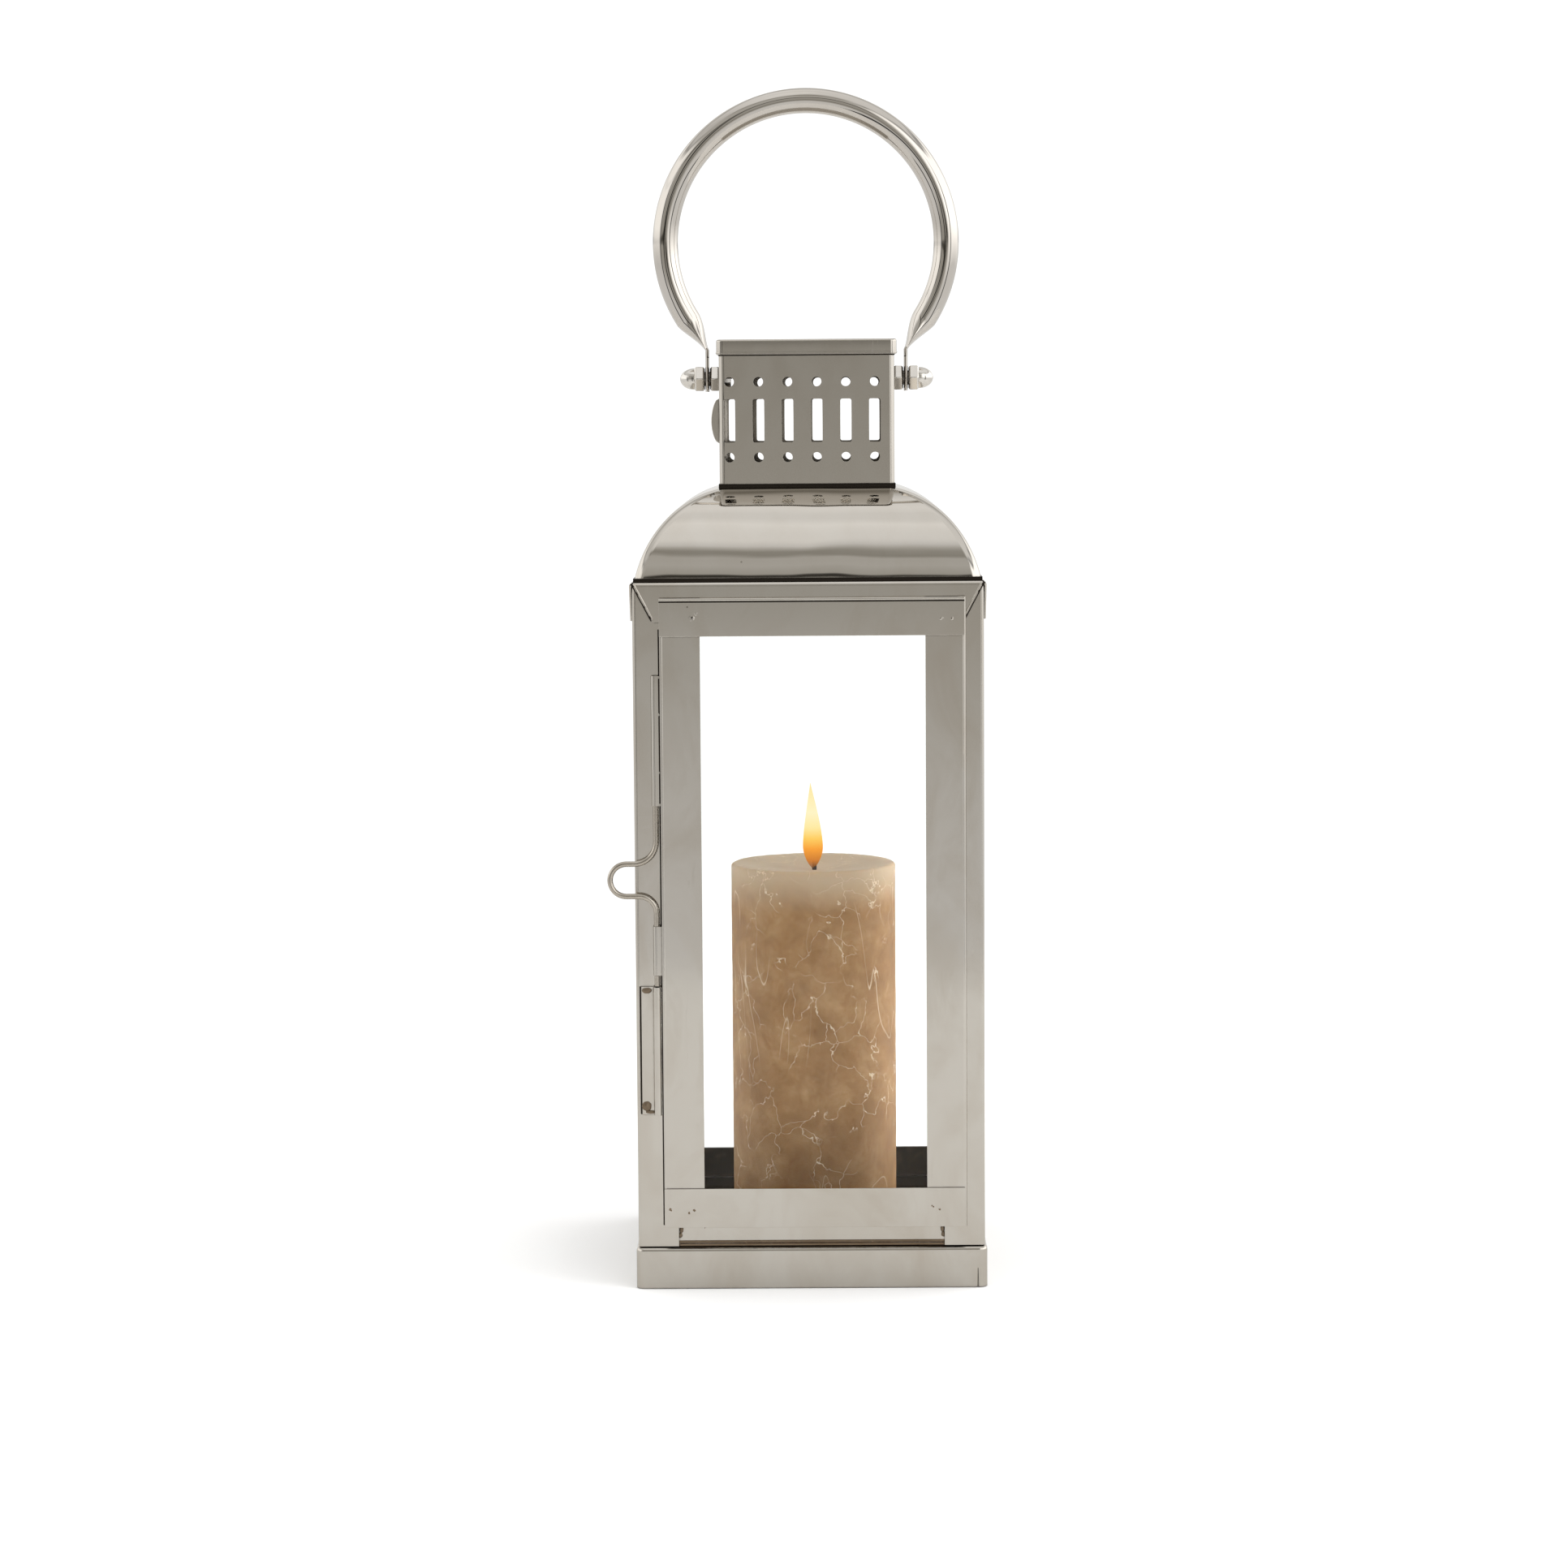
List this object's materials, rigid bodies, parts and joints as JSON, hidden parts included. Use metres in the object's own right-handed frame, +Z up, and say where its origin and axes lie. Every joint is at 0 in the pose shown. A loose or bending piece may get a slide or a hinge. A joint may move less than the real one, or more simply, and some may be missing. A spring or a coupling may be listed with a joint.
{
  "type": "candle lantern",
  "caption": "Square glazed candle lantern with a hinged glass door and slide bolt, domed roof, vented chimney, swinging bail handle and a pillar candle.",
  "frame": {"origin": "middle of the base's flat underside, on the surface it stands on", "axes": "+Z up; the door faces -Y; +X to the right of someone facing the door, on the hinge side"},
  "size_m": [0.1542, 0.1486, 0.4915],
  "materials": {
    "steel": "mirror-polished sheet steel, warm grey, with fine wiping scratches and small weld marks",
    "fasteners": "bright turned steel",
    "wire": "bright drawn wire",
    "glass": "clear flat glass with faint smears",
    "wax": "mottled brown paraffin wax with a pale, crackled bloom",
    "wick": "charred braided cotton"
  },
  "bodies": {
    "frame": {"base_tray": "steel", "bottom_rail_front": "steel", "bottom_rail_left": "steel", "bottom_rail_rear": "steel", "bottom_rail_right": "steel", "cap_nut_left": "fasteners", "cap_nut_right": "fasteners", "chimney": "steel", "chimney_cap": "steel", "corner_post_front_left": "steel", "corner_post_front_right": "steel", "corner_post_rear_left": "steel", "corner_post_rear_right": "steel", "floor_plate": "steel", "glass_clip_left_a": "steel", "glass_clip_left_b": "steel", "glass_clip_rear_a": "steel", "glass_clip_rear_b": "steel", "glass_clip_right_a": "steel", "glass_clip_right_b": "steel", "glass_left": "glass", "glass_rear": "glass", "glass_right": "glass", "header_front": "steel", "header_left": "steel", "header_rear": "steel", "header_right": "steel", "hinge_rod": "wire", "latch_catch": "steel", "lock_nut_left": "fasteners", "lock_nut_right": "fasteners", "pivot_screw_left": "fasteners", "pivot_screw_right": "fasteners", "roof_dome": "steel"},
    "door": {"door_clip_left_high": "steel", "door_clip_left_low": "steel", "door_clip_right_high": "steel", "door_clip_right_low": "steel", "door_glass": "glass", "door_rail_bottom": "steel", "door_rail_top": "steel", "door_stile_left": "steel", "door_stile_right": "steel", "latch_sleeve_lower": "steel", "latch_sleeve_upper": "steel"},
    "latch_bolt": {"latch_bolt": "wire"},
    "handle": {"handle": "steel"},
    "candle": {"candle": "wax", "wick": "wick"}
  },
  "joints": [
    {"name": "door_hinge", "type": "hinge", "parent": "frame", "child": "door", "pos_m": [0.062, -0.074, 0.1547], "axis": [0, 0, 1], "range_deg": [0, 110]},
    {"name": "latch_slide", "type": "slide", "parent": "door", "child": "latch_bolt", "axis": [0, 0, 1], "range_m": [-0.005, 0.008]},
    {"name": "handle_pivot", "type": "hinge", "parent": "frame", "child": "handle", "pos_m": [0, 0, 0.3713], "axis": [1, 0, 0], "range_deg": [-130, 130]},
    {"name": "candle_lift", "type": "slide", "parent": "frame", "child": "candle", "axis": [0, 0, 1], "range_m": [0, 0.1]}
  ]
}
